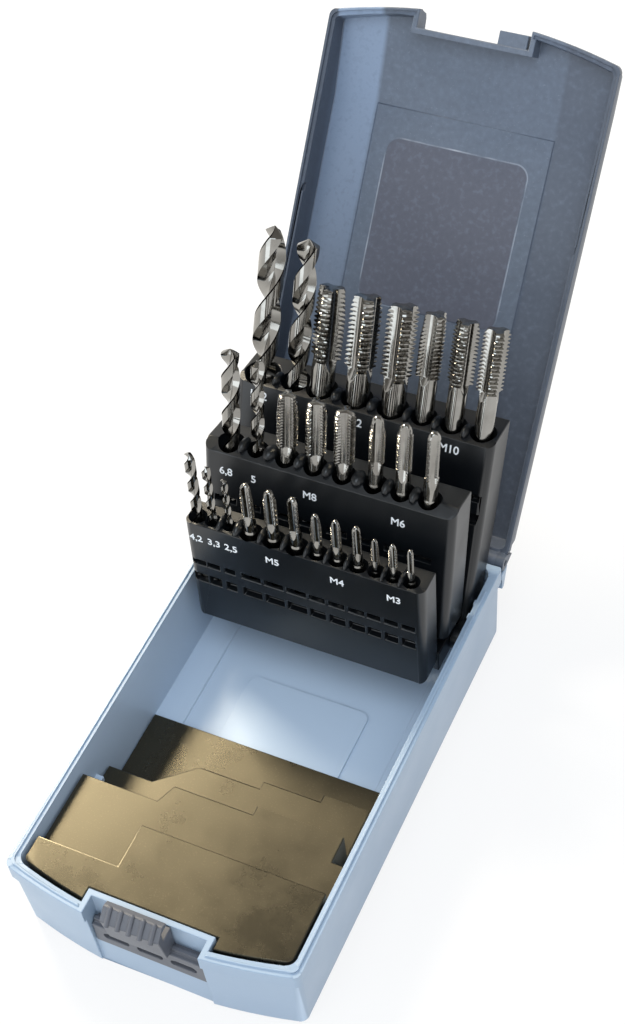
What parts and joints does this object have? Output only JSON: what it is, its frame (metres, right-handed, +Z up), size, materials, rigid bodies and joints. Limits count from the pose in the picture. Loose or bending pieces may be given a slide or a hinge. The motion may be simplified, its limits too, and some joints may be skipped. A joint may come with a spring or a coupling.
{
  "type": "tap and drill case",
  "caption": "Flat hinged plastic case for hand taps and twist drills, with tiered racks that swing up as the lid opens and a sliding latch.",
  "frame": {"origin": "middle of the tray's flat bottom", "axes": "+X to the right of someone facing the latch, +Y from the latch to the hinge, +Z up"},
  "size_m": [0.112, 0.3165, 0.186],
  "materials": {
    "tray_plastic": "satin light grey-blue moulded plastic",
    "lid_plastic": "fine-grained slate grey moulded plastic",
    "latch_plastic": "satin mid grey moulded plastic",
    "rack_plastic": "near-black moulded plastic, semi-gloss",
    "inlay_plastic": "black satin thermoformed sheet",
    "pin_steel": "plain drawn steel wire",
    "tool_steel": "ground high speed steel, bright"
  },
  "bodies": {
    "case": {"tray": "tray_plastic", "inlay": "inlay_plastic", "latch_frame": "latch_plastic", "rack_rod": "pin_steel", "hinge_pin_left": "pin_steel", "hinge_pin_right": "pin_steel"},
    "lid": {"lid": "lid_plastic"},
    "latch_slide": {"latch_slide": "latch_plastic"},
    "rack_front": {"rack_front": "rack_plastic"},
    "rack_middle": {"rack_middle": "rack_plastic"},
    "rack_rear": {"rack_rear": "rack_plastic"},
    "drill_4_2": {"drill_4_2": "tool_steel"},
    "drill_3_3": {"drill_3_3": "tool_steel"},
    "drill_2_5": {"drill_2_5": "tool_steel"},
    "tap_m5_taper": {"tap_m5_taper": "tool_steel"},
    "tap_m5_second": {"tap_m5_second": "tool_steel"},
    "tap_m5_bottoming": {"tap_m5_bottoming": "tool_steel"},
    "tap_m4_taper": {"tap_m4_taper": "tool_steel"},
    "tap_m4_second": {"tap_m4_second": "tool_steel"},
    "tap_m4_bottoming": {"tap_m4_bottoming": "tool_steel"},
    "tap_m3_taper": {"tap_m3_taper": "tool_steel"},
    "tap_m3_second": {"tap_m3_second": "tool_steel"},
    "tap_m3_bottoming": {"tap_m3_bottoming": "tool_steel"},
    "drill_6_8": {"drill_6_8": "tool_steel"},
    "drill_5_0": {"drill_5_0": "tool_steel"},
    "tap_m8_taper": {"tap_m8_taper": "tool_steel"},
    "tap_m8_second": {"tap_m8_second": "tool_steel"},
    "tap_m8_bottoming": {"tap_m8_bottoming": "tool_steel"},
    "tap_m6_taper": {"tap_m6_taper": "tool_steel"},
    "tap_m6_second": {"tap_m6_second": "tool_steel"},
    "tap_m6_bottoming": {"tap_m6_bottoming": "tool_steel"},
    "drill_10_2": {"drill_10_2": "tool_steel"},
    "drill_8_5": {"drill_8_5": "tool_steel"},
    "tap_m12_taper": {"tap_m12_taper": "tool_steel"},
    "tap_m12_second": {"tap_m12_second": "tool_steel"},
    "tap_m12_bottoming": {"tap_m12_bottoming": "tool_steel"},
    "tap_m10_taper": {"tap_m10_taper": "tool_steel"},
    "tap_m10_second": {"tap_m10_second": "tool_steel"},
    "tap_m10_bottoming": {"tap_m10_bottoming": "tool_steel"}
  },
  "joints": [
    {"name": "lid_hinge", "type": "hinge", "parent": "case", "child": "lid", "pos_m": [0, 0.0929, 0.037], "axis": [-1, 0, 0], "range_deg": [-128.1, 0]},
    {"name": "rack_front_hinge", "type": "hinge", "parent": "case", "child": "rack_front", "pos_m": [0, 0.0605, 0.028], "axis": [-1, 0, 0], "range_deg": [-93.6, 0]},
    {"name": "rack_middle_hinge", "type": "hinge", "parent": "case", "child": "rack_middle", "pos_m": [0, 0.0605, 0.028], "axis": [-1, 0, 0], "range_deg": [-103.6, 0]},
    {"name": "rack_rear_hinge", "type": "hinge", "parent": "case", "child": "rack_rear", "pos_m": [0, 0.0605, 0.028], "axis": [-1, 0, 0], "range_deg": [-113.6, 0]},
    {"name": "latch_travel", "type": "slide", "parent": "case", "child": "latch_slide", "axis": [1, 0, 0], "range_m": [0, 0.011]},
    {"name": "drill_4_2_lift", "type": "slide", "parent": "rack_front", "child": "drill_4_2", "axis": [0, 0.061, 0.9981], "range_m": [0, 0.0449]},
    {"name": "drill_3_3_lift", "type": "slide", "parent": "rack_front", "child": "drill_3_3", "axis": [0, 0.061, 0.9981], "range_m": [0, 0.0394]},
    {"name": "drill_2_5_lift", "type": "slide", "parent": "rack_front", "child": "drill_2_5", "axis": [0, 0.061, 0.9981], "range_m": [0, 0.0351]},
    {"name": "tap_m5_taper_lift", "type": "slide", "parent": "rack_front", "child": "tap_m5_taper", "axis": [0, 0.061, 0.9981], "range_m": [0, 0.0269]},
    {"name": "tap_m5_second_lift", "type": "slide", "parent": "rack_front", "child": "tap_m5_second", "axis": [0, 0.061, 0.9981], "range_m": [0, 0.0269]},
    {"name": "tap_m5_bottoming_lift", "type": "slide", "parent": "rack_front", "child": "tap_m5_bottoming", "axis": [0, 0.061, 0.9981], "range_m": [0, 0.0269]},
    {"name": "tap_m4_taper_lift", "type": "slide", "parent": "rack_front", "child": "tap_m4_taper", "axis": [0, 0.061, 0.9981], "range_m": [0, 0.0269]},
    {"name": "tap_m4_second_lift", "type": "slide", "parent": "rack_front", "child": "tap_m4_second", "axis": [0, 0.061, 0.9981], "range_m": [0, 0.0269]},
    {"name": "tap_m4_bottoming_lift", "type": "slide", "parent": "rack_front", "child": "tap_m4_bottoming", "axis": [0, 0.061, 0.9981], "range_m": [0, 0.0269]},
    {"name": "tap_m3_taper_lift", "type": "slide", "parent": "rack_front", "child": "tap_m3_taper", "axis": [0, 0.061, 0.9981], "range_m": [0, 0.0255]},
    {"name": "tap_m3_second_lift", "type": "slide", "parent": "rack_front", "child": "tap_m3_second", "axis": [0, 0.061, 0.9981], "range_m": [0, 0.0255]},
    {"name": "tap_m3_bottoming_lift", "type": "slide", "parent": "rack_front", "child": "tap_m3_bottoming", "axis": [0, 0.061, 0.9981], "range_m": [0, 0.0255]},
    {"name": "drill_6_8_lift", "type": "slide", "parent": "rack_middle", "child": "drill_6_8", "axis": [0, 0.2334, 0.9724], "range_m": [0, 0.0689]},
    {"name": "drill_5_0_lift", "type": "slide", "parent": "rack_middle", "child": "drill_5_0", "axis": [0, 0.2334, 0.9724], "range_m": [0, 0.0477]},
    {"name": "tap_m8_taper_lift", "type": "slide", "parent": "rack_middle", "child": "tap_m8_taper", "axis": [0, 0.2334, 0.9724], "range_m": [0, 0.0279]},
    {"name": "tap_m8_second_lift", "type": "slide", "parent": "rack_middle", "child": "tap_m8_second", "axis": [0, 0.2334, 0.9724], "range_m": [0, 0.0279]},
    {"name": "tap_m8_bottoming_lift", "type": "slide", "parent": "rack_middle", "child": "tap_m8_bottoming", "axis": [0, 0.2334, 0.9724], "range_m": [0, 0.0279]},
    {"name": "tap_m6_taper_lift", "type": "slide", "parent": "rack_middle", "child": "tap_m6_taper", "axis": [0, 0.2334, 0.9724], "range_m": [0, 0.0207]},
    {"name": "tap_m6_second_lift", "type": "slide", "parent": "rack_middle", "child": "tap_m6_second", "axis": [0, 0.2334, 0.9724], "range_m": [0, 0.0207]},
    {"name": "tap_m6_bottoming_lift", "type": "slide", "parent": "rack_middle", "child": "tap_m6_bottoming", "axis": [0, 0.2334, 0.9724], "range_m": [0, 0.0207]},
    {"name": "drill_10_2_lift", "type": "slide", "parent": "rack_rear", "child": "drill_10_2", "axis": [0, 0.3987, 0.9171], "range_m": [0, 0.0757]},
    {"name": "drill_8_5_lift", "type": "slide", "parent": "rack_rear", "child": "drill_8_5", "axis": [0, 0.3987, 0.9171], "range_m": [0, 0.0615]},
    {"name": "tap_m12_taper_lift", "type": "slide", "parent": "rack_rear", "child": "tap_m12_taper", "axis": [0, 0.3987, 0.9171], "range_m": [0, 0.035]},
    {"name": "tap_m12_second_lift", "type": "slide", "parent": "rack_rear", "child": "tap_m12_second", "axis": [0, 0.3987, 0.9171], "range_m": [0, 0.035]},
    {"name": "tap_m12_bottoming_lift", "type": "slide", "parent": "rack_rear", "child": "tap_m12_bottoming", "axis": [0, 0.3987, 0.9171], "range_m": [0, 0.035]},
    {"name": "tap_m10_taper_lift", "type": "slide", "parent": "rack_rear", "child": "tap_m10_taper", "axis": [0, 0.3987, 0.9171], "range_m": [0, 0.0298]},
    {"name": "tap_m10_second_lift", "type": "slide", "parent": "rack_rear", "child": "tap_m10_second", "axis": [0, 0.3987, 0.9171], "range_m": [0, 0.0298]},
    {"name": "tap_m10_bottoming_lift", "type": "slide", "parent": "rack_rear", "child": "tap_m10_bottoming", "axis": [0, 0.3987, 0.9171], "range_m": [0, 0.0298]}
  ],
  "couplings": [
    {"joint": "rack_front_hinge", "follows": "lid_hinge", "ratio": 0.7299},
    {"joint": "rack_middle_hinge", "follows": "lid_hinge", "ratio": 0.80796},
    {"joint": "rack_rear_hinge", "follows": "lid_hinge", "ratio": 0.88603}
  ]
}
